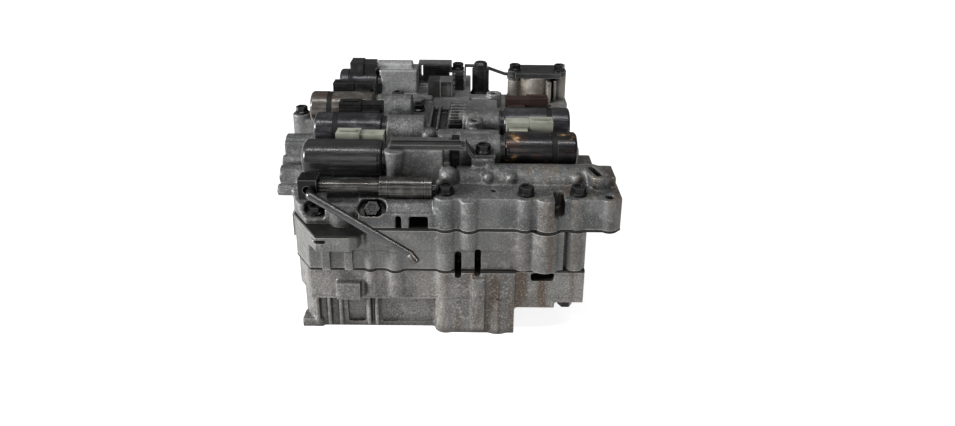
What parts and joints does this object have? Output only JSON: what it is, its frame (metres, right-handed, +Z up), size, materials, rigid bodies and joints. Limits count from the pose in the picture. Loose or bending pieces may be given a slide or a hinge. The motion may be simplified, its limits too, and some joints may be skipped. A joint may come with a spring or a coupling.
{
  "type": "transmission valve body",
  "caption": "Automatic transmission valve body: stacked aluminium castings with separator plates, solenoids, a manual valve with its link rod, spools and an accumulator.",
  "frame": {"origin": "on the case face under the middle of the stack", "axes": "+Z up from the case face to the solenoids, -Y to the front with the link rod, +X to the right end of the front flange"},
  "size_m": [0.288, 0.3448, 0.1487],
  "materials": {
    "cast_aluminium": "as cast, oil stained",
    "plate_steel": "dark sheet steel",
    "gasket": "dark gasket paper",
    "dark_steel": "blackened, worn bright on edges",
    "bolt_steel": "black oxide",
    "bright_steel": "ground and oily",
    "yoke_steel": "pressed sheet",
    "beige_plastic": "moulded",
    "black_plastic": "moulded",
    "brown_plastic": "moulded",
    "terminal": "tinned brass",
    "seal_rubber": "moulded ring"
  },
  "bodies": {
    "base": {"lower_body": "cast_aluminium", "lower_gasket_under": "gasket", "lower_plate": "plate_steel", "lower_gasket_over": "gasket", "middle_body": "cast_aluminium", "upper_gasket_under": "gasket", "upper_plate": "plate_steel", "upper_gasket_over": "gasket", "upper_body": "cast_aluminium", "locating_pins": "bright_steel", "check_balls": "bright_steel", "stack_bolts": "bolt_steel", "lower_bolts": "bolt_steel", "deck_bolts": "bolt_steel", "left_can_1": "dark_steel", "left_can_2": "dark_steel", "left_can_3": "dark_steel", "left_can_4": "dark_steel", "right_can_1": "dark_steel", "right_can_2": "dark_steel", "sleeves": "bright_steel", "sleeve_seals": "seal_rubber", "left_socket_1": "beige_plastic", "left_socket_2": "black_plastic", "left_socket_3": "black_plastic", "left_socket_4": "black_plastic", "right_socket_1": "beige_plastic", "right_socket_2": "brown_plastic", "socket_pins": "terminal", "rear_coil": "black_plastic", "rear_yoke": "yoke_steel", "front_coil": "black_plastic", "front_yoke": "yoke_steel", "relief_valve": "dark_steel", "accumulator_body": "cast_aluminium", "accumulator_cover": "cast_aluminium", "accumulator_spring": "bright_steel", "accumulator_bolts": "bolt_steel", "strap": "yoke_steel", "lock_plate": "yoke_steel", "pressure_spring": "bright_steel", "lockup_spring": "bright_steel", "clutch_spring": "bright_steel", "shift_spring": "bright_steel", "bore_plugs": "bright_steel", "plug_keys": "yoke_steel", "centre_clamps": "black_plastic", "centre_comb": "black_plastic"},
    "manual_valve": {"manual_valve": "bright_steel"},
    "link_rod": {"link_rod": "bright_steel"},
    "accumulator_piston": {"accumulator_piston": "bright_steel"},
    "pressure_spool": {"pressure_spool": "bright_steel"},
    "lockup_spool": {"lockup_spool": "bright_steel"},
    "clutch_spool": {"clutch_spool": "bright_steel"},
    "shift_spool": {"shift_spool": "bright_steel"}
  },
  "joints": [
    {"name": "manual_valve_slide", "type": "slide", "parent": "base", "child": "manual_valve", "axis": [-1, 0, 0], "range_m": [0, 0.018]},
    {"name": "link_rod_hinge", "type": "hinge", "parent": "manual_valve", "child": "link_rod", "pos_m": [-0.095, -0.153, 0.1187], "axis": [0, -1, 0], "range_deg": [0, 100]},
    {"name": "accumulator_stroke", "type": "slide", "parent": "base", "child": "accumulator_piston", "axis": [0, 0, 1], "range_m": [0, 0.006], "stiffness_N_per_m": 3000, "springref_m": -0.004, "deforming": ["accumulator_spring"]},
    {"name": "pressure_spool_slide", "type": "slide", "parent": "base", "child": "pressure_spool", "axis": [1, 0, 0], "range_m": [0, 0.005], "stiffness_N_per_m": 600, "springref_m": -0.004, "deforming": ["pressure_spring"]},
    {"name": "lockup_spool_slide", "type": "slide", "parent": "base", "child": "lockup_spool", "axis": [-1, 0, 0], "range_m": [0, 0.005], "stiffness_N_per_m": 600, "springref_m": -0.004, "deforming": ["lockup_spring"]},
    {"name": "clutch_spool_slide", "type": "slide", "parent": "base", "child": "clutch_spool", "axis": [1, 0, 0], "range_m": [0, 0.005], "stiffness_N_per_m": 600, "springref_m": -0.004, "deforming": ["clutch_spring"]},
    {"name": "shift_spool_slide", "type": "slide", "parent": "base", "child": "shift_spool", "axis": [-1, 0, 0], "range_m": [0, 0.005], "stiffness_N_per_m": 600, "springref_m": -0.004, "deforming": ["shift_spring"]}
  ]
}
